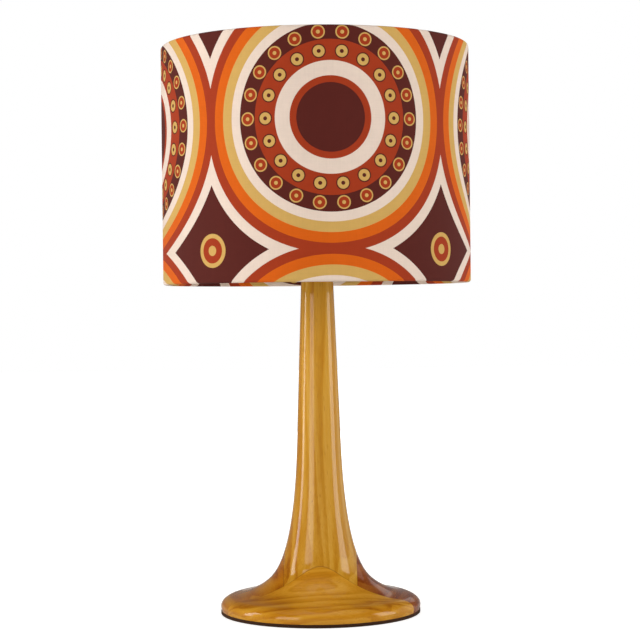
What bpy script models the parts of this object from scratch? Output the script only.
"""A turned wooden table lamp with a drum shade.

The wood body is glued up from a column and four foot blocks and turned to one trumpet shape. A
threaded tube clamps a switched bayonet lampholder onto it. The shade hangs on the holder by a plate
with three arms, and a pearl bulb stands in the holder. Metres, +Z up, the origin under the felt's
middle, the front at -Y.
"""

import math

import bpy
from mathutils import Matrix, Vector

# Clearances that neighbouring pieces share
PIECE_GAP = 0.0003  # neighbours that touch on the real lamp
SLIDE_CLEARANCE = 0.0004  # round a piece that slides or turns
CUT_OVERRUN = 0.002  # a cutter runs this far past what it cuts

# Felt under the foot
FELT_RADIUS = 0.0812
FELT_THICKNESS = 0.0024

# Turned wood: column and foot blocks
BODY_HEIGHT = 0.2723
FOOT_RADIUS = 0.0813
FOOT_HEIGHT = 0.0264  # where the foot has curved up into the stem
STEM_WAIST_RADIUS = 0.01785
STEM_TOP_RADIUS = 0.0129
FOOT_EDGE_UNDERCUT = 0.0006
COLUMN_WIDTH = 0.0592  # of the blank that the stem is turned from
COLUMN_DEPTH_SHARE = 0.4  # of the foot: boards glued in front and behind make up the rest
UNDER_RECESS_RADIUS = 0.045
UNDER_RECESS_DEPTH = 0.008
NUT_POCKET_DEPTH = 0.016
RIM_HEIGHT_SHARE = 0.123  # of FOOT_HEIGHT, where the edge is widest
LIP_HEIGHT_SHARE = 0.428
LIP_RADIUS_SHARE = 0.885  # of FOOT_RADIUS, where the rounded edge meets the flat top
COVE_RADIUS_SHARE = 0.492
WAIST_HEIGHT_SHARE = 0.504  # of BODY_HEIGHT
LIP_SLOPE_DEG = 9
COVE_SLOPE_DEG = 46.5
EDGE_HANDLE_SHARES = (0.444, 0.186)  # of the chord, for each curve's two handles
TOP_HANDLE_SHARES = (0.465, 0.239)
STEM_HANDLE_SHARES = (0.215, 0.354)
WOOD_STEPS = 48

# Lead inlet in the back of the foot
INLET_BORE_RADIUS = 0.0031
BUSH_WALL = 0.0005
BUSH_LENGTH = 0.012
BUSH_FLANGE_WIDTH = 0.0006
BUSH_FLANGE_THICKNESS = 0.0012
INLET_HEIGHT = 0.0051  # of the hole's middle, above the wood's underside
INLET_SET_BACK = 0.0035  # of the flange's face, behind the foot's edge

# Threaded tube with its washers and nut
TUBE_RADIUS = 0.005
TUBE_WALL = 0.0009
TUBE_END = 0.0015  # of thread that stands out of the nut
TUBE_CLEARANCE = 0.0005
WASHER_RADIUS = 0.0125
WASHER_THICKNESS = 0.0016
POCKET_CLEARANCE = 0.0025
NUT_ACROSS_CORNERS = 0.0162
NUT_THICKNESS = 0.004
COVER_WASHER_RADIUS = 0.0124
COVER_WASHER_THICKNESS = 0.0015

# Bulb, which the lampholder is built round
BULB_CAP_RADIUS = 0.011
BULB_CAP_LENGTH = 0.0235
BULB_CAP_WALL = 0.0004
BULB_LENGTH = 0.105
BULB_RADIUS = 0.030
BULB_GLASS_WALL = 0.0008
BULB_PIN_RADIUS = 0.001
BULB_PIN_REACH = 0.0022  # beyond the cap
BULB_PIN_HEIGHT = 0.007  # above the contacts
BULB_CONTACT_RADIUS = 0.0021
BULB_CONTACT_HEIGHT = 0.0006
BULB_INSULATOR_THICKNESS = 0.0036
BULB_STEM_LENGTH = 0.036
BULB_STEM_RADIUS = 0.0036
BULB_STEM_TIP_RADIUS = 0.0022
FILAMENT_WIRE_RADIUS = 0.0003
FILAMENT_SPAN = 0.026
FILAMENT_RISE = 0.016

# Lampholder
HOLDER_STEPS = 28
CAP_WALL = 0.0012
CAP_BOSS_RADIUS = 0.0085
CAP_BOSS_HEIGHT = 0.0055
CAP_DOME_HEIGHT = 0.008
TUBE_IN_CAP = 0.001  # of tube that stands above the cap's floor
GRUB_RADIUS = 0.0013
GRUB_LENGTH = 0.0026
GRUB_SLOT_WIDTH = 0.0006
GRUB_SLOT_DEPTH = 0.0009
CORE_FLOOR_GAP = 0.0015
CORE_WEB = 0.0016  # of moulding left round the switch's hollow
CORE_CLEARANCE = 0.0004
CORE_SCREW_RADIUS = 0.0013
CORE_SCREW_HEAD_RADIUS = 0.0026
CORE_SCREW_HEAD_HEIGHT = 0.0014
CORE_SCREW_LENGTH = 0.017
CORE_SCREW_OFFSET = 0.0088
SKIRT_LENGTH = 0.006
SKIRT_STEP = 0.0006
SKIRT_MARGIN = 0.0012
FLANGE_WIDTH = 0.0036
FLANGE_THICKNESS = 0.002
SHELL_WALL = 0.001
SLEEVE_WALL = 0.0008
SLEEVE_FOOT_THICKNESS = 0.001
SOCKET_ABOVE_PIN = 0.0105
BAYONET_TRAVEL = 0.0015
BAYONET_RUN = 0.0052  # sideways, from the way in to the seat
BAYONET_HOOK = 0.0012  # how far the pin has to drop to clear the hook

# Sprung contacts
PLUNGER_SPACING = 0.0096
PLUNGER_RADIUS = 0.0018
PLUNGER_PROUD = 0.0026
PLUNGER_WELL_DEPTH = 0.0135
SPRING_LENGTH = 0.007
SPRING_RADIUS = 0.0014
SPRING_WIRE_RADIUS = 0.0002
SPRING_TURNS = 5
SPRING_POINTS_PER_TURN = 8

# Push-bar switch
BAR_RADIUS = 0.003
BAR_TRAVEL = 0.006
BAR_PROUD = 0.003  # of the pushed-in end
BAR_END_BEVEL = 0.0008
BRIDGE_LENGTH = 0.004
BRIDGE_WALL = 0.0013

# Shade ring, which screws down on the shade's plate
RING_WIDTH = 0.0045
RING_HEIGHT = 0.008
RING_LIP = 0.0012
RING_LIP_THICKNESS = 0.002

# Shade
SHADE_DIAMETER = 0.250
SHADE_HEIGHT = 0.1925
SHADE_STEPS = 56
FABRIC_THICKNESS = 0.0006
LINING_THICKNESS = 0.0005
HEM_TURN_DEG = 235  # of the cloth round each rim wire
HEM_POINTS = 6
RIM_WIRE_RADIUS = 0.0015
RIM_WIRE_SIDES = 6
FITTER_PLATE_WIDTH = 0.0065
FITTER_PLATE_THICKNESS = 0.0012
SPIDER_RISE = 0.0390  # of the plate's underside above the shade's lower edge
ARM_RADIUS = 0.0015
ARM_COUNT = 3
ARM_FIRST_DEG = 90
ARM_STRAIGHT_END = 0.004

# Where each piece stands, worked out from the felt upwards
WOOD_Z = FELT_THICKNESS + PIECE_GAP
STEM_TOP_Z = WOOD_Z + BODY_HEIGHT
POCKET_RADIUS = WASHER_RADIUS + POCKET_CLEARANCE
WASHER_Z = WOOD_Z + NUT_POCKET_DEPTH - PIECE_GAP - WASHER_THICKNESS
NUT_Z = WASHER_Z - PIECE_GAP - NUT_THICKNESS
TUBE_Z = NUT_Z - TUBE_END
COVER_WASHER_Z = STEM_TOP_Z + PIECE_GAP
CAP_Z = COVER_WASHER_Z + COVER_WASHER_THICKNESS + PIECE_GAP
CAP_FLOOR_Z = CAP_Z + CAP_BOSS_HEIGHT + CAP_WALL
TUBE_TOP_Z = CAP_FLOOR_Z + TUBE_IN_CAP
TUBE_HOLE_RADIUS = TUBE_RADIUS + PIECE_GAP

BRIDGE_BORE_RADIUS = BAR_RADIUS + PIECE_GAP
BRIDGE_RADIUS = BRIDGE_BORE_RADIUS + BRIDGE_WALL
SWITCH_HOLLOW_RADIUS = BRIDGE_RADIUS + SLIDE_CLEARANCE
SWITCH_HOLLOW_LENGTH = BRIDGE_LENGTH + BAR_TRAVEL + 2 * SLIDE_CLEARANCE
BAR_HOLE_RADIUS = BAR_RADIUS + SLIDE_CLEARANCE
CORE_Z = TUBE_TOP_Z + CORE_FLOOR_GAP
BAR_Z = CORE_Z + CORE_WEB + SWITCH_HOLLOW_RADIUS
WELL_FLOOR_Z = BAR_Z + SWITCH_HOLLOW_RADIUS + CORE_WEB
CORE_TOP_Z = WELL_FLOOR_Z + PLUNGER_WELL_DEPTH
SPRING_Z = WELL_FLOOR_Z + PIECE_GAP
PLUNGER_Z = SPRING_Z + SPRING_LENGTH + PIECE_GAP
PLUNGER_TOP_Z = CORE_TOP_Z + PLUNGER_PROUD
BULB_Z = PLUNGER_TOP_Z + PIECE_GAP
BULB_PIN_Z = BULB_Z + BULB_PIN_HEIGHT
BULB_CAP_Z = BULB_Z + BULB_CONTACT_HEIGHT + PIECE_GAP
BULB_NECK_Z = BULB_CAP_Z + BULB_CAP_LENGTH
SOCKET_TOP_Z = BULB_PIN_Z + SOCKET_ABOVE_PIN

SLEEVE_BORE_RADIUS = BULB_CAP_RADIUS + SLIDE_CLEARANCE
SLEEVE_RADIUS = SLEEVE_BORE_RADIUS + SLEEVE_WALL
PIN_TIP_RADIUS = BULB_CAP_RADIUS + BULB_PIN_REACH
SHELL_BORE_RADIUS = PIN_TIP_RADIUS + SLIDE_CLEARANCE
SHELL_RADIUS = SHELL_BORE_RADIUS + SHELL_WALL
CORE_RADIUS = SHELL_BORE_RADIUS - CORE_CLEARANCE
SKIRT_RADIUS = SHELL_RADIUS + SKIRT_STEP
CAP_BORE_RADIUS = SKIRT_RADIUS + PIECE_GAP
CAP_RADIUS = CAP_BORE_RADIUS + CAP_WALL
SKIRT_Z = BAR_Z + BAR_HOLE_RADIUS + SKIRT_MARGIN
CAP_TOP_Z = SKIRT_Z + SKIRT_LENGTH
FLANGE_Z = CAP_TOP_Z + PIECE_GAP
FLANGE_RADIUS = SHELL_RADIUS + FLANGE_WIDTH
SHADE_SEAT_Z = FLANGE_Z + FLANGE_THICKNESS
FITTER_Z = SHADE_SEAT_Z + PIECE_GAP
FITTER_BORE_RADIUS = SHELL_RADIUS + SLIDE_CLEARANCE
FITTER_RADIUS = FITTER_BORE_RADIUS + FITTER_PLATE_WIDTH
RING_Z = FITTER_Z + FITTER_PLATE_THICKNESS + PIECE_GAP
RING_BORE_RADIUS = SHELL_RADIUS + SLIDE_CLEARANCE
BAR_LENGTH = 2 * CAP_RADIUS + 2 * BAR_PROUD + BAR_TRAVEL

SHADE_Z = FITTER_Z - SPIDER_RISE
SHADE_TOP_Z = SHADE_Z + SHADE_HEIGHT
SHADE_RADIUS = SHADE_DIAMETER / 2
FABRIC_BORE_RADIUS = SHADE_RADIUS - FABRIC_THICKNESS
LINING_RADIUS = FABRIC_BORE_RADIUS - PIECE_GAP
LINING_BORE_RADIUS = LINING_RADIUS - LINING_THICKNESS
RIM_WIRE_CIRCLE = FABRIC_BORE_RADIUS - PIECE_GAP - RIM_WIRE_RADIUS
RIM_WIRE_INSET = FABRIC_THICKNESS + PIECE_GAP + RIM_WIRE_RADIUS  # of its middle from the shade's ends
HEM_RADIUS = RIM_WIRE_RADIUS + PIECE_GAP + FABRIC_THICKNESS / 2
LINING_INSET = RIM_WIRE_INSET + RIM_WIRE_RADIUS + PIECE_GAP

SMOOTH_BELOW = math.radians(40)


def clear_scene():
    for obj in list(bpy.data.objects):
        bpy.data.objects.remove(obj)


def new_collection(name):
    collection = bpy.data.collections.new(name)
    bpy.context.scene.collection.children.link(collection)
    return collection


clear_scene()
LAMP = new_collection("table_lamp")
CUTTERS = new_collection("cutters")


def new_material(name, colour, roughness, metallic=0.0, transmission=0.0):
    material = bpy.data.materials.new(name)
    material.use_nodes = True
    shader = material.node_tree.nodes["Principled BSDF"]
    shader.inputs["Base Color"].default_value = (*colour, 1.0)
    shader.inputs["Roughness"].default_value = roughness
    shader.inputs["Metallic"].default_value = metallic
    shader.inputs["Transmission Weight"].default_value = transmission
    return material


HEARTWOOD = new_material("heartwood", (0.50, 0.26, 0.06), 0.25)
DARK_BLOCK = new_material("dark_block", (0.36, 0.15, 0.04), 0.25)
FELT = new_material("felt", (0.035, 0.022, 0.015), 0.95)
STEEL = new_material("zinc_plated_steel", (0.60, 0.60, 0.58), 0.35, 1.0)
BRASS = new_material("brass", (0.80, 0.60, 0.28), 0.28, 1.0)
BAKELITE = new_material("bakelite", (0.83, 0.79, 0.68), 0.40)
BLACK_PLASTIC = new_material("black_plastic", (0.02, 0.02, 0.02), 0.40)
ALUMINIUM = new_material("aluminium", (0.85, 0.85, 0.86), 0.30, 1.0)
PEARL_GLASS = new_material("pearl_glass", (0.95, 0.95, 0.93), 0.45, 0.0, 0.4)
CLEAR_GLASS = new_material("clear_glass", (0.95, 0.97, 0.97), 0.05, 0.0, 1.0)
TUNGSTEN = new_material("tungsten", (0.30, 0.29, 0.28), 0.40, 1.0)
FABRIC = new_material("printed_cotton", (0.62, 0.20, 0.06), 0.85)
LINING = new_material("white_lining", (0.90, 0.89, 0.86), 0.45)
WHITE_WIRE = new_material("white_coated_wire", (0.86, 0.86, 0.84), 0.35)


def new_axis(name, height):
    """An empty on a moving piece's axis, which that piece's objects are parented to."""
    empty = bpy.data.objects.new(name, None)
    LAMP.objects.link(empty)
    empty.location.z = height
    return empty


SHADE_AXIS = new_axis("shade_axis", SHADE_Z)
RING_AXIS = new_axis("shade_ring_axis", RING_Z)
SWITCH_AXIS = new_axis("switch_axis", BAR_Z)
BULB_AXIS = new_axis("bulb_axis", BULB_Z)


def add_part(part, material, axis=None, height=0.0):
    """Puts the object in the lamp at that height, under its axis if it moves."""
    for collection in list(part.users_collection):
        collection.objects.unlink(part)
    LAMP.objects.link(part)
    part.data.materials.clear()
    part.data.materials.append(material)
    part.location.z = height
    if axis:
        part.parent = axis
        part.location.z = height - axis.location.z
    return part


def as_cutter(part):
    for collection in list(part.users_collection):
        collection.objects.unlink(part)
    CUTTERS.objects.link(part)
    part.hide_render = True
    part.display_type = "WIRE"
    return part


def boolean(part, other, operation):
    modifier = part.modifiers.new(operation.title(), "BOOLEAN")
    modifier.operation = operation
    modifier.object = other
    modifier.solver = "EXACT"
    return part


def turned(name, outline, steps, wall=0.0):
    """A turned shape. The outline's (radius, height) points run down its outer side. A wall makes an
    open outline a shell of that thickness, half on each side of it."""
    touches_axis = outline[0][0] == 0 or outline[-1][0] == 0
    mesh = bpy.data.meshes.new(name)
    edges = [(i, i + 1) for i in range(len(outline) - 1)]
    if not touches_axis and not wall:
        edges.append((len(outline) - 1, 0))
    mesh.from_pydata([(radius, 0.0, height) for radius, height in outline], edges, [])
    part = bpy.data.objects.new(name, mesh)
    bpy.context.scene.collection.objects.link(part)
    screw = part.modifiers.new("Turn", "SCREW")
    screw.axis = "Z"
    screw.steps = screw.render_steps = steps
    screw.use_smooth_shade = True
    screw.use_merge_vertices = True
    screw.merge_threshold = 1e-5
    if wall:
        solidify = part.modifiers.new("Wall", "SOLIDIFY")
        solidify.thickness = wall
        solidify.offset = 0.0
        solidify.use_even_offset = True
    return part


def ring_outline(bore, radius, low, high):
    return [(radius, high), (radius, low), (bore, low), (bore, high)]


def disc_outline(radius, low, high):
    return [(0.0, high), (radius, high), (radius, low), (0.0, low)]


def cylinder(name, radius, length, sides=24, along="Z"):
    """A cylinder about the origin, along one axis."""
    bpy.ops.mesh.primitive_cylinder_add(vertices=sides, radius=radius, depth=length)
    part = bpy.context.object
    part.name = part.data.name = name
    turn = {"X": Matrix.Rotation(math.pi / 2, 4, "Y"), "Y": Matrix.Rotation(-math.pi / 2, 4, "X")}
    if along in turn:
        part.data.transform(turn[along])
    part.data.shade_smooth()
    part.data.set_sharp_from_angle(angle=SMOOTH_BELOW)
    return part


def box(name, low, high):
    """A box between two corners."""
    low, high = Vector(low), Vector(high)
    bpy.ops.mesh.primitive_cube_add(size=1)
    part = bpy.context.object
    part.name = part.data.name = name
    part.data.transform(Matrix.Translation((low + high) / 2) @ Matrix.Diagonal((*(high - low), 1)))
    return part


def tube(name, points, radius, sides_level=2):
    """A round wire through the points, with its ends closed."""
    curve = bpy.data.curves.new(name, "CURVE")
    curve.dimensions = "3D"
    curve.bevel_depth = radius
    curve.bevel_resolution = sides_level
    curve.use_fill_caps = True
    spline = curve.splines.new("POLY")
    spline.points.add(len(points) - 1)
    for point, place in zip(spline.points, points):
        point.co = (*place, 1.0)
    part = bpy.data.objects.new(name, curve)
    bpy.context.scene.collection.objects.link(part)
    return part


def as_mesh(part):
    """A flat outline or a wire made a mesh with its caps welded, so that it can be cut or cut with."""
    bpy.context.view_layer.update()
    graph = bpy.context.evaluated_depsgraph_get()
    mesh = bpy.data.meshes.new_from_object(part.evaluated_get(graph))
    made = bpy.data.objects.new(part.name, mesh)
    bpy.context.scene.collection.objects.link(made)
    made.matrix_world = part.matrix_world
    name = part.name
    bpy.data.objects.remove(part)
    made.name = name
    weld = made.modifiers.new("Weld", "WELD")
    weld.merge_threshold = 1e-5
    return made


def plate(name, outline, half_thickness):
    """A flat outline in the XY plane, as thick on both sides of it."""
    curve = bpy.data.curves.new(name, "CURVE")
    curve.dimensions = "2D"
    curve.fill_mode = "BOTH"
    curve.extrude = half_thickness
    spline = curve.splines.new("POLY")
    spline.points.add(len(outline) - 1)
    spline.use_cyclic_u = True
    for point, (x, y) in zip(spline.points, outline):
        point.co = (x, y, 0.0, 1.0)
    part = bpy.data.objects.new(name, curve)
    bpy.context.scene.collection.objects.link(part)
    return as_mesh(part)


def bezier(start, start_handle, end_handle, end, count):
    """Points along a cubic curve, without its first."""
    points = []
    for i in range(1, count + 1):
        t = i / count
        s = 1 - t
        points.append(
            s**3 * start + 3 * s * s * t * start_handle + 3 * s * t * t * end_handle + t**3 * end
        )
    return points


def wood_outline():
    """The whole glued-up body: its trumpet outside, and its recess, pocket and bore."""
    rim = Vector((FOOT_RADIUS, RIM_HEIGHT_SHARE * FOOT_HEIGHT))
    lip = Vector((LIP_RADIUS_SHARE * FOOT_RADIUS, LIP_HEIGHT_SHARE * FOOT_HEIGHT))
    cove = Vector((COVE_RADIUS_SHARE * FOOT_RADIUS, FOOT_HEIGHT))
    waist = Vector((STEM_WAIST_RADIUS, WAIST_HEIGHT_SHARE * BODY_HEIGHT))
    top = Vector((STEM_TOP_RADIUS, BODY_HEIGHT))
    lip_way = Vector((math.cos(math.radians(LIP_SLOPE_DEG)), -math.sin(math.radians(LIP_SLOPE_DEG))))
    cove_way = Vector((math.cos(math.radians(COVE_SLOPE_DEG)), -math.sin(math.radians(COVE_SLOPE_DEG))))
    stem_way = (waist - top).normalized()

    outline = [top, top.lerp(waist, 0.5), waist]
    chord = (cove - waist).length
    low, high = STEM_HANDLE_SHARES
    outline += bezier(waist, waist + stem_way * high * chord, cove - cove_way * low * chord, cove, 9)
    chord = (lip - cove).length
    outer, inner = TOP_HANDLE_SHARES
    outline += bezier(cove, cove + cove_way * inner * chord, lip - lip_way * outer * chord, lip, 5)
    chord = (rim - lip).length
    low, high = EDGE_HANDLE_SHARES
    above_rim = rim + Vector((0.0, low * chord))
    outline += bezier(lip, lip + lip_way * high * chord, above_rim, rim, 5)

    bore = TUBE_RADIUS + TUBE_CLEARANCE
    outline += [
        (FOOT_RADIUS - FOOT_EDGE_UNDERCUT, 0.0),
        (UNDER_RECESS_RADIUS, 0.0),
        (UNDER_RECESS_RADIUS, UNDER_RECESS_DEPTH),
        (POCKET_RADIUS, UNDER_RECESS_DEPTH),
        (POCKET_RADIUS, NUT_POCKET_DEPTH),
        (bore, NUT_POCKET_DEPTH),
        (bore, BODY_HEIGHT),
    ]
    return [tuple(point) for point in outline]


def wood_piece(name, low, high, material):
    """The part of the turned body that one block of the glue-up makes."""
    piece = add_part(turned(name, wood_outline(), WOOD_STEPS), material, height=WOOD_Z)
    block = as_cutter(box(f"{name}_block", low, high))
    block.location.z = WOOD_Z
    return boolean(piece, block, "INTERSECT")


def make_wood():
    """A column in the middle, a block glued on its left and right, and a full-width board on its
    front and back."""
    half = COLUMN_WIDTH / 2
    deep = COLUMN_DEPTH_SHARE * FOOT_RADIUS
    glued = half + PIECE_GAP
    glued_deep = deep + PIECE_GAP
    out = FOOT_RADIUS + CUT_OVERRUN
    below = -CUT_OVERRUN
    above = BODY_HEIGHT + CUT_OVERRUN
    wood_piece("column", (-half, -deep, below), (half, deep, above), HEARTWOOD)
    wood_piece("foot_block_left", (-out, -deep, below), (-glued, deep, above), HEARTWOOD)
    wood_piece("foot_block_right", (glued, -deep, below), (out, deep, above), DARK_BLOCK)
    wood_piece("foot_block_front", (-out, -out, below), (out, -glued_deep, above), HEARTWOOD)
    back = wood_piece("foot_block_back", (-out, glued_deep, below), (out, out, above), HEARTWOOD)

    hole_radius = INLET_BORE_RADIUS + BUSH_WALL + PIECE_GAP
    seat_radius = INLET_BORE_RADIUS + BUSH_WALL + BUSH_FLANGE_WIDTH + PIECE_GAP
    seat_y = FOOT_RADIUS - INLET_SET_BACK - BUSH_FLANGE_THICKNESS - PIECE_GAP
    for name, radius, start in (("inlet_hole", hole_radius, deep), ("inlet_seat", seat_radius, seat_y)):
        hole = as_cutter(cylinder(name, radius, out - start, along="Y"))
        hole.location = (0.0, (start + out) / 2, WOOD_Z + INLET_HEIGHT)
        boolean(back, hole, "DIFFERENCE")


def make_inlet_bush():
    """A flanged bush that keeps the lead off the edge of its hole."""
    sleeve = INLET_BORE_RADIUS + BUSH_WALL
    flange = sleeve + BUSH_FLANGE_WIDTH
    outline = [
        (flange, 0.0),
        (flange, -BUSH_FLANGE_THICKNESS),
        (sleeve, -BUSH_FLANGE_THICKNESS),
        (sleeve, -BUSH_LENGTH),
        (INLET_BORE_RADIUS, -BUSH_LENGTH),
        (INLET_BORE_RADIUS, 0.0),
    ]
    bush = add_part(turned("inlet_bush", outline, 24), BLACK_PLASTIC, height=WOOD_Z + INLET_HEIGHT)
    bush.rotation_euler.x = -math.pi / 2
    bush.location.y = FOOT_RADIUS - INLET_SET_BACK


def make_felt():
    felt = turned("base_felt", disc_outline(FELT_RADIUS, 0.0, FELT_THICKNESS), WOOD_STEPS)
    add_part(felt, FELT)


def make_tube_and_fixings():
    """The threaded tube, its nut and washer under the foot, and the brass washer on the stem."""
    bore = TUBE_RADIUS - TUBE_WALL
    outline = ring_outline(bore, TUBE_RADIUS, TUBE_Z, TUBE_TOP_Z)
    add_part(turned("threaded_tube", outline, 24), STEEL)

    outline = ring_outline(TUBE_HOLE_RADIUS, WASHER_RADIUS, WASHER_Z, WASHER_Z + WASHER_THICKNESS)
    add_part(turned("base_washer", outline, HOLDER_STEPS), STEEL)

    nut = add_part(cylinder("base_nut", NUT_ACROSS_CORNERS / 2, NUT_THICKNESS, sides=6), STEEL)
    nut.location.z = NUT_Z + NUT_THICKNESS / 2
    hole = as_cutter(cylinder("base_nut_hole", TUBE_HOLE_RADIUS, NUT_THICKNESS + 2 * CUT_OVERRUN))
    hole.location.z = nut.location.z
    boolean(nut, hole, "DIFFERENCE")

    top = COVER_WASHER_Z + COVER_WASHER_THICKNESS
    outline = ring_outline(TUBE_HOLE_RADIUS, COVER_WASHER_RADIUS, COVER_WASHER_Z, top)
    add_part(turned("stem_cover_washer", outline, HOLDER_STEPS), BRASS)


def bar_hole(name, radius, length):
    hole = as_cutter(cylinder(name, radius, length, along="X"))
    hole.location.z = BAR_Z
    return hole


def make_holder_cap():
    """The domed brass cap. It screws on the tube, and a grub screw locks it there."""
    dome_z = CAP_Z + CAP_BOSS_HEIGHT
    dome_points = 5
    outline = [(CAP_RADIUS, CAP_TOP_Z)]
    for i in range(dome_points + 1):
        angle = math.pi / 2 * i / dome_points
        radius = CAP_BOSS_RADIUS + (CAP_RADIUS - CAP_BOSS_RADIUS) * math.cos(angle)
        outline.append((radius, dome_z + CAP_DOME_HEIGHT * (1 - math.sin(angle))))
    outline += [(CAP_BOSS_RADIUS, CAP_Z), (TUBE_HOLE_RADIUS, CAP_Z), (TUBE_HOLE_RADIUS, CAP_FLOOR_Z)]
    inner_height = CAP_DOME_HEIGHT - CAP_WALL
    for i in range(dome_points, -1, -1):
        angle = math.pi / 2 * i / dome_points
        radius = CAP_BOSS_RADIUS + (CAP_BORE_RADIUS - CAP_BOSS_RADIUS) * math.cos(angle)
        outline.append((radius, CAP_FLOOR_Z + inner_height * (1 - math.sin(angle))))
    outline.append((CAP_BORE_RADIUS, CAP_TOP_Z))
    cap = add_part(turned("holder_cap", outline, HOLDER_STEPS), BRASS)
    boolean(cap, bar_hole("cap_bar_hole", BAR_HOLE_RADIUS, 2 * CAP_RADIUS + CUT_OVERRUN), "DIFFERENCE")

    grub_z = CAP_Z + CAP_BOSS_HEIGHT / 2
    hole_length = CAP_BOSS_RADIUS - TUBE_HOLE_RADIUS + CUT_OVERRUN
    hole = as_cutter(cylinder("grub_hole", GRUB_RADIUS + PIECE_GAP, hole_length, sides=12, along="Y"))
    hole.location = (0.0, TUBE_RADIUS + hole_length / 2, grub_z)
    boolean(cap, hole, "DIFFERENCE")

    grub = add_part(cylinder("grub_screw", GRUB_RADIUS, GRUB_LENGTH, sides=12, along="Y"), STEEL)
    grub.location = (0.0, TUBE_RADIUS + PIECE_GAP + GRUB_LENGTH / 2, grub_z)
    end_y = grub.location.y + GRUB_LENGTH / 2
    slot_low = (-CUT_OVERRUN, end_y - GRUB_SLOT_DEPTH, grub_z - GRUB_SLOT_WIDTH / 2)
    slot_high = (CUT_OVERRUN, end_y + CUT_OVERRUN, grub_z + GRUB_SLOT_WIDTH / 2)
    boolean(grub, as_cutter(box("grub_slot", slot_low, slot_high)), "DIFFERENCE")


def core_block(name, low, high, cutters):
    block = turned(name, disc_outline(CORE_RADIUS, low, high), HOLDER_STEPS)
    add_part(block, BAKELITE)
    for cutter in cutters:
        boolean(block, cutter, "DIFFERENCE")


def make_core():
    """Two mouldings that close round the switch: the upper one holds the sprung contacts."""
    hollow = bar_hole("switch_hollow", SWITCH_HOLLOW_RADIUS, SWITCH_HOLLOW_LENGTH)
    bore = bar_hole("core_bar_hole", BAR_HOLE_RADIUS, 2 * CORE_RADIUS + CUT_OVERRUN)
    split = PIECE_GAP / 2
    screw_top_z = CORE_Z + CORE_SCREW_HEAD_HEIGHT + CORE_SCREW_LENGTH
    cutters = [hollow, bore]
    for side, name in ((-1, "front"), (1, "back")):
        hole_length = screw_top_z + PIECE_GAP - CORE_Z + CUT_OVERRUN
        hole = as_cutter(cylinder(f"core_screw_hole_{name}", CORE_SCREW_RADIUS + PIECE_GAP, hole_length))
        hole.location = (0.0, side * CORE_SCREW_OFFSET, CORE_Z - CUT_OVERRUN + hole_length / 2)
        seat_length = CORE_SCREW_HEAD_HEIGHT + PIECE_GAP + CUT_OVERRUN
        seat_radius = CORE_SCREW_HEAD_RADIUS + PIECE_GAP
        seat = as_cutter(cylinder(f"core_screw_seat_{name}", seat_radius, seat_length))
        seat.location = (0.0, side * CORE_SCREW_OFFSET, CORE_Z - CUT_OVERRUN + seat_length / 2)
        cutters += [hole, seat]
        outline = [
            (0.0, screw_top_z),
            (CORE_SCREW_RADIUS, screw_top_z),
            (CORE_SCREW_RADIUS, CORE_Z + CORE_SCREW_HEAD_HEIGHT),
            (CORE_SCREW_HEAD_RADIUS, CORE_Z + CORE_SCREW_HEAD_HEIGHT),
            (CORE_SCREW_HEAD_RADIUS, CORE_Z),
            (0.0, CORE_Z),
        ]
        screw = add_part(turned(f"core_screw_{name}", outline, 12), BRASS)
        screw.location.y = side * CORE_SCREW_OFFSET
    core_block("switch_block", CORE_Z, BAR_Z - split, cutters)

    wells = []
    for side, name in ((-1, "left"), (1, "right")):
        length = PLUNGER_WELL_DEPTH + CUT_OVERRUN
        well = as_cutter(cylinder(f"plunger_well_{name}", PLUNGER_RADIUS + SLIDE_CLEARANCE, length, 16))
        well.location = (side * PLUNGER_SPACING / 2, 0.0, WELL_FLOOR_Z + length / 2)
        wells.append(well)
    core_block("contact_block", BAR_Z + split, CORE_TOP_Z, cutters + wells)


def make_shell():
    """The brass shell: its skirt fits in the cap, and its flange carries the shade's plate."""
    outline = [
        (SHELL_RADIUS, SOCKET_TOP_Z),
        (SHELL_RADIUS, SHADE_SEAT_Z),
        (FLANGE_RADIUS, SHADE_SEAT_Z),
        (FLANGE_RADIUS, FLANGE_Z),
        (SKIRT_RADIUS, FLANGE_Z),
        (SKIRT_RADIUS, SKIRT_Z),
        (SHELL_BORE_RADIUS, SKIRT_Z),
        (SHELL_BORE_RADIUS, SOCKET_TOP_Z),
    ]
    add_part(turned("holder_shell", outline, HOLDER_STEPS), BRASS)


def bayonet_slot_outline():
    """One slot, flat: a way in from the top, a run sideways under the hook, and the pin's seat."""
    half = BULB_PIN_RADIUS + SLIDE_CLEARANCE
    top = SOCKET_TOP_Z - BULB_PIN_Z + CUT_OVERRUN
    bottom = -BAYONET_TRAVEL - half
    hook = half - BAYONET_HOOK
    return [
        (-BAYONET_RUN - half, top),
        (-BAYONET_RUN - half, bottom),
        (half, bottom),
        (half, half),
        (-half, half),
        (-half, hook),
        (-BAYONET_RUN + half, hook),
        (-BAYONET_RUN + half, top),
    ]


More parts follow.
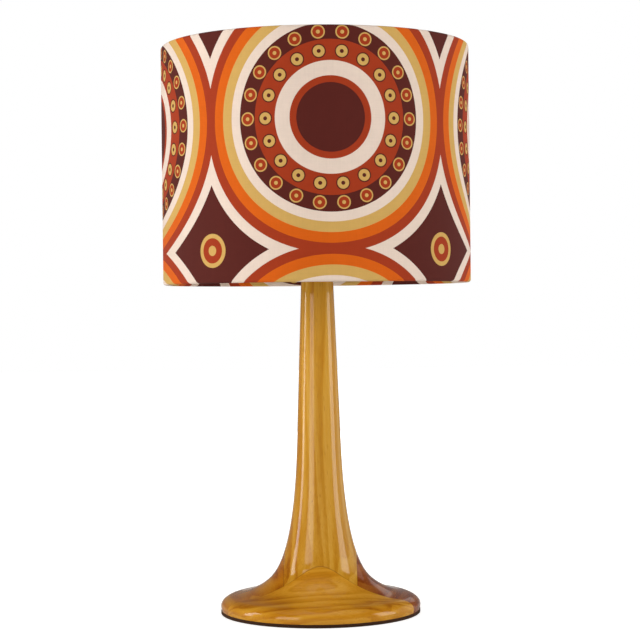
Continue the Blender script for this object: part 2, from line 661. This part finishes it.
def make_bayonet_sleeve():
    foot_z = CORE_TOP_Z + PIECE_GAP
    outline = [
        (SLEEVE_RADIUS, SOCKET_TOP_Z),
        (SLEEVE_RADIUS, foot_z + SLEEVE_FOOT_THICKNESS),
        (SHELL_BORE_RADIUS - PIECE_GAP, foot_z + SLEEVE_FOOT_THICKNESS),
        (SHELL_BORE_RADIUS - PIECE_GAP, foot_z),
        (SLEEVE_BORE_RADIUS, foot_z),
        (SLEEVE_BORE_RADIUS, SOCKET_TOP_Z),
    ]
    sleeve = add_part(turned("bayonet_sleeve", outline, HOLDER_STEPS), BRASS)
    reach = (PIN_TIP_RADIUS - BULB_CAP_RADIUS) / 2 + CUT_OVERRUN
    for side, name in ((-1, "front"), (1, "back")):
        slot = as_cutter(plate(f"bayonet_slot_{name}", bayonet_slot_outline(), reach))
        facing = Matrix.Rotation(math.pi / 2, 4, "X")
        turn = Matrix.Rotation(0.0 if side < 0 else math.pi, 4, "Z")
        place = Matrix.Translation((0.0, side * SLEEVE_RADIUS, BULB_PIN_Z))
        slot.matrix_world = place @ turn @ facing
        boolean(sleeve, slot, "DIFFERENCE")


def make_plungers():
    """Sprung contacts under the bulb's two contacts."""
    for side, name in ((-1, "left"), (1, "right")):
        x = side * PLUNGER_SPACING / 2
        length = PLUNGER_TOP_Z - PLUNGER_Z
        tip = PLUNGER_RADIUS / 2
        outline = [
            (0.0, length),
            (tip, length),
            (PLUNGER_RADIUS, length - tip),
            (PLUNGER_RADIUS, 0.0),
            (0.0, 0.0),
        ]
        plunger = add_part(turned(f"contact_plunger_{name}", outline, 16), BRASS, height=PLUNGER_Z)
        plunger.location.x = x

        count = SPRING_TURNS * SPRING_POINTS_PER_TURN
        climb = SPRING_LENGTH - 2 * SPRING_WIRE_RADIUS
        points = []
        for i in range(count + 1):
            angle = 2 * math.pi * i / SPRING_POINTS_PER_TURN
            height = SPRING_WIRE_RADIUS + climb * i / count
            points.append((SPRING_RADIUS * math.cos(angle), SPRING_RADIUS * math.sin(angle), height))
        spring = tube(f"contact_spring_{name}", points, SPRING_WIRE_RADIUS, 1)
        add_part(spring, STEEL, height=SPRING_Z)
        spring.location.x = x


def make_switch():
    """The push bar, out to the right at rest, and the brass bridge that it carries."""
    bar = add_part(cylinder("switch_bar", BAR_RADIUS, BAR_LENGTH, sides=20, along="X"), BAKELITE)
    bar.parent = SWITCH_AXIS
    bar.location.x = BAR_TRAVEL / 2
    bevel = bar.modifiers.new("Rounded ends", "BEVEL")
    bevel.width = BAR_END_BEVEL
    bevel.segments = 2
    bevel.limit_method = "ANGLE"
    bevel.angle_limit = SMOOTH_BELOW

    half = BRIDGE_LENGTH / 2
    outline = ring_outline(BRIDGE_BORE_RADIUS, BRIDGE_RADIUS, -half, half)
    bridge = add_part(turned("switch_bridge", outline, 20), BRASS)
    bridge.parent = SWITCH_AXIS
    bridge.location.x = BAR_TRAVEL / 2
    bridge.rotation_euler.y = math.pi / 2


def make_shade_ring():
    """The ring that screws down the shell onto the shade's plate, with a lip round its foot."""
    outer = RING_BORE_RADIUS + RING_WIDTH
    body = outer - RING_LIP
    outline = [
        (body, RING_HEIGHT),
        (body, RING_LIP_THICKNESS),
        (outer, RING_LIP_THICKNESS),
        (outer, 0.0),
        (RING_BORE_RADIUS, 0.0),
        (RING_BORE_RADIUS, RING_HEIGHT),
    ]
    add_part(turned("shade_ring", outline, HOLDER_STEPS), BAKELITE, RING_AXIS, RING_Z)


def make_bulb_base():
    """The bulb's metal cap with its two pins, its black insulator and its two contacts."""
    outline = ring_outline(BULB_CAP_RADIUS - BULB_CAP_WALL, BULB_CAP_RADIUS, 0.0, BULB_CAP_LENGTH)
    cap = add_part(turned("bulb_cap", outline, HOLDER_STEPS), ALUMINIUM, BULB_AXIS, BULB_CAP_Z)
    root = BULB_CAP_RADIUS - BULB_CAP_WALL / 2
    for side, name in ((-1, "front"), (1, "back")):
        pin = as_cutter(cylinder(f"bulb_pin_{name}", BULB_PIN_RADIUS, PIN_TIP_RADIUS - root, 12, "Y"))
        pin.location = (0.0, side * (root + PIN_TIP_RADIUS) / 2, BULB_PIN_Z)
        boolean(cap, pin, "UNION")

    insulator_radius = BULB_CAP_RADIUS - BULB_CAP_WALL - PIECE_GAP
    outline = disc_outline(insulator_radius, 0.0, BULB_INSULATOR_THICKNESS)
    add_part(turned("bulb_insulator", outline, HOLDER_STEPS), BLACK_PLASTIC, BULB_AXIS, BULB_CAP_Z)
    for side, name in ((-1, "left"), (1, "right")):
        outline = disc_outline(BULB_CONTACT_RADIUS, 0.0, BULB_CONTACT_HEIGHT)
        contact = turned(f"bulb_contact_{name}", outline, 16)
        add_part(contact, BRASS, BULB_AXIS, BULB_Z)
        contact.location.x = side * PLUNGER_SPACING / 2


def bulb_outline():
    """The glass in section, from its crown down into the cap."""
    neck_radius = BULB_CAP_RADIUS - BULB_CAP_WALL - PIECE_GAP - BULB_GLASS_WALL / 2
    radius = BULB_RADIUS - BULB_GLASS_WALL / 2
    neck_z = BULB_NECK_Z - BULB_Z
    centre_z = BULB_LENGTH - BULB_RADIUS
    ball_end_deg = 118  # from the crown, where the ball gives way to the neck
    outline = [Vector((0.0, centre_z + radius))]
    ball_points = 7
    for i in range(1, ball_points + 1):
        angle = math.radians(ball_end_deg * i / ball_points)
        outline.append(Vector((radius * math.sin(angle), centre_z + radius * math.cos(angle))))
    ball_end = outline[-1]
    way = Vector((math.cos(math.radians(ball_end_deg)), -math.sin(math.radians(ball_end_deg))))
    neck = Vector((neck_radius, neck_z))
    reach = (ball_end - neck).length / 3
    outline += bezier(ball_end, ball_end + way * reach, neck + Vector((0.0, reach)), neck, 4)
    outline.append(Vector((neck_radius, neck_z - BULB_CAP_LENGTH / 2)))
    return [tuple(point) for point in outline]


def make_bulb_glass():
    glass = turned("bulb_glass", bulb_outline(), HOLDER_STEPS, wall=BULB_GLASS_WALL)
    add_part(glass, PEARL_GLASS, BULB_AXIS, BULB_Z)


def make_bulb_mount():
    """The glass stem inside the bulb, which stands on the insulator, and its filament."""
    foot_z = BULB_CAP_Z + BULB_INSULATOR_THICKNESS + PIECE_GAP
    outline = [
        (0.0, BULB_STEM_LENGTH),
        (BULB_STEM_TIP_RADIUS, BULB_STEM_LENGTH),
        (BULB_STEM_RADIUS, 0.0),
        (0.0, 0.0),
    ]
    add_part(turned("bulb_stem", outline, 16), CLEAR_GLASS, BULB_AXIS, foot_z)

    stem_top_z = foot_z + BULB_STEM_LENGTH + PIECE_GAP
    foot = BULB_STEM_TIP_RADIUS / 2
    sag = FILAMENT_RISE / 4
    half_span = FILAMENT_SPAN / 2
    arc_points = 6
    points = [(-foot, 0.0, 0.0), (-foot, 0.0, sag / 2), (-half_span, 0.0, FILAMENT_RISE)]
    for i in range(1, arc_points):
        angle = math.pi * i / arc_points
        rise = FILAMENT_RISE - sag * math.sin(angle)
        points.append((-half_span * math.cos(angle), -sag * math.sin(angle), rise))
    points += [(half_span, 0.0, FILAMENT_RISE), (foot, 0.0, sag / 2), (foot, 0.0, 0.0)]
    add_part(tube("bulb_filament", points, FILAMENT_WIRE_RADIUS, 1), TUNGSTEN, BULB_AXIS, stem_top_z)


def hem_outline():
    """The cloth's middle line round a rim wire, from the drum's wall in under the wire and up."""
    outline = []
    for i in range(HEM_POINTS + 1):
        angle = math.radians(HEM_TURN_DEG * i / HEM_POINTS)
        radius = RIM_WIRE_CIRCLE + HEM_RADIUS * math.cos(angle)
        outline.append((radius, RIM_WIRE_INSET - HEM_RADIUS * math.sin(angle)))
    return outline


def make_shade_skins():
    """Printed cotton, rolled round a wire at the top and the bottom, over a white plastic lining."""
    low_hem = hem_outline()
    high_hem = [(radius, SHADE_HEIGHT - height) for radius, height in reversed(low_hem)]
    fabric = turned("shade_fabric", high_hem + low_hem, SHADE_STEPS, wall=FABRIC_THICKNESS)
    add_part(fabric, FABRIC, SHADE_AXIS, SHADE_Z)

    high = SHADE_HEIGHT - LINING_INSET
    outline = ring_outline(LINING_BORE_RADIUS, LINING_RADIUS, LINING_INSET, high)
    add_part(turned("shade_lining", outline, SHADE_STEPS), LINING, SHADE_AXIS, SHADE_Z)
    return fabric


def make_rim_wires():
    high = SHADE_HEIGHT - RIM_WIRE_INSET
    for name, height in (("rim_wire_bottom", RIM_WIRE_INSET), ("rim_wire_top", high)):
        bpy.ops.mesh.primitive_torus_add(
            major_segments=SHADE_STEPS,
            minor_segments=RIM_WIRE_SIDES,
            major_radius=RIM_WIRE_CIRCLE,
            minor_radius=RIM_WIRE_RADIUS,
        )
        wire = bpy.context.object
        wire.name = wire.data.name = name
        add_part(wire, WHITE_WIRE, SHADE_AXIS, SHADE_Z + height)


def arm_route():
    """One arm along +X: flat under the plate's edge, then sloping down to the rim wire."""
    inner = FLANGE_RADIUS + SLIDE_CLEARANCE
    outer = RIM_WIRE_CIRCLE - RIM_WIRE_RADIUS - PIECE_GAP
    high = FITTER_Z - PIECE_GAP - ARM_RADIUS - SHADE_Z
    low = RIM_WIRE_INSET
    start = Vector((inner + ARM_STRAIGHT_END, 0.0, high))
    end = Vector((outer - ARM_STRAIGHT_END, 0.0, low))
    bend = Vector((ARM_STRAIGHT_END, 0.0, 0.0))
    points = [Vector((inner, 0.0, high)), start]
    points += bezier(start, start + bend, end - bend, end, 5)
    points.append(Vector((outer, 0.0, low)))
    return points


def make_spider(fabric):
    """The plate that sits on the holder's flange, and the arms that are welded to it and to the
    lower rim wire. The lower hem is slit where an arm passes."""
    outline = ring_outline(FITTER_BORE_RADIUS, FITTER_RADIUS, 0.0, FITTER_PLATE_THICKNESS)
    add_part(turned("fitter_plate", outline, HOLDER_STEPS), WHITE_WIRE, SHADE_AXIS, FITTER_Z)
    half = ARM_RADIUS + PIECE_GAP
    slit_low = (RIM_WIRE_CIRCLE - HEM_RADIUS - CUT_OVERRUN, -half, -half)
    slit_high = (RIM_WIRE_CIRCLE, half, HEM_RADIUS + CUT_OVERRUN)
    for i in range(ARM_COUNT):
        turn = math.radians(ARM_FIRST_DEG + 360 / ARM_COUNT * i)
        arm = add_part(tube(f"spider_arm_{i + 1}", arm_route(), ARM_RADIUS), WHITE_WIRE, SHADE_AXIS, SHADE_Z)
        arm.rotation_euler.z = turn
        slit = as_cutter(box(f"arm_slit_{i + 1}", slit_low, slit_high))
        slit.location.z = SHADE_Z + RIM_WIRE_INSET
        slit.rotation_euler.z = turn
        boolean(fabric, slit, "DIFFERENCE")


make_felt()
make_wood()
make_inlet_bush()
make_tube_and_fixings()
make_holder_cap()
make_core()
make_shell()
make_bayonet_sleeve()
make_plungers()
make_switch()
make_shade_ring()
make_bulb_base()
make_bulb_glass()
make_bulb_mount()
shade_fabric = make_shade_skins()
make_rim_wires()
make_spider(shade_fabric)

print(f"shade from {SHADE_Z:.4f} to {SHADE_TOP_Z:.4f} m, bulb top at {BULB_Z + BULB_LENGTH:.4f} m")
spring_gap = (SPRING_LENGTH - 2 * SPRING_WIRE_RADIUS) / SPRING_TURNS - 2 * SPRING_WIRE_RADIUS
print(f"least gap between spring turns {spring_gap * 1000:.2f} mm")
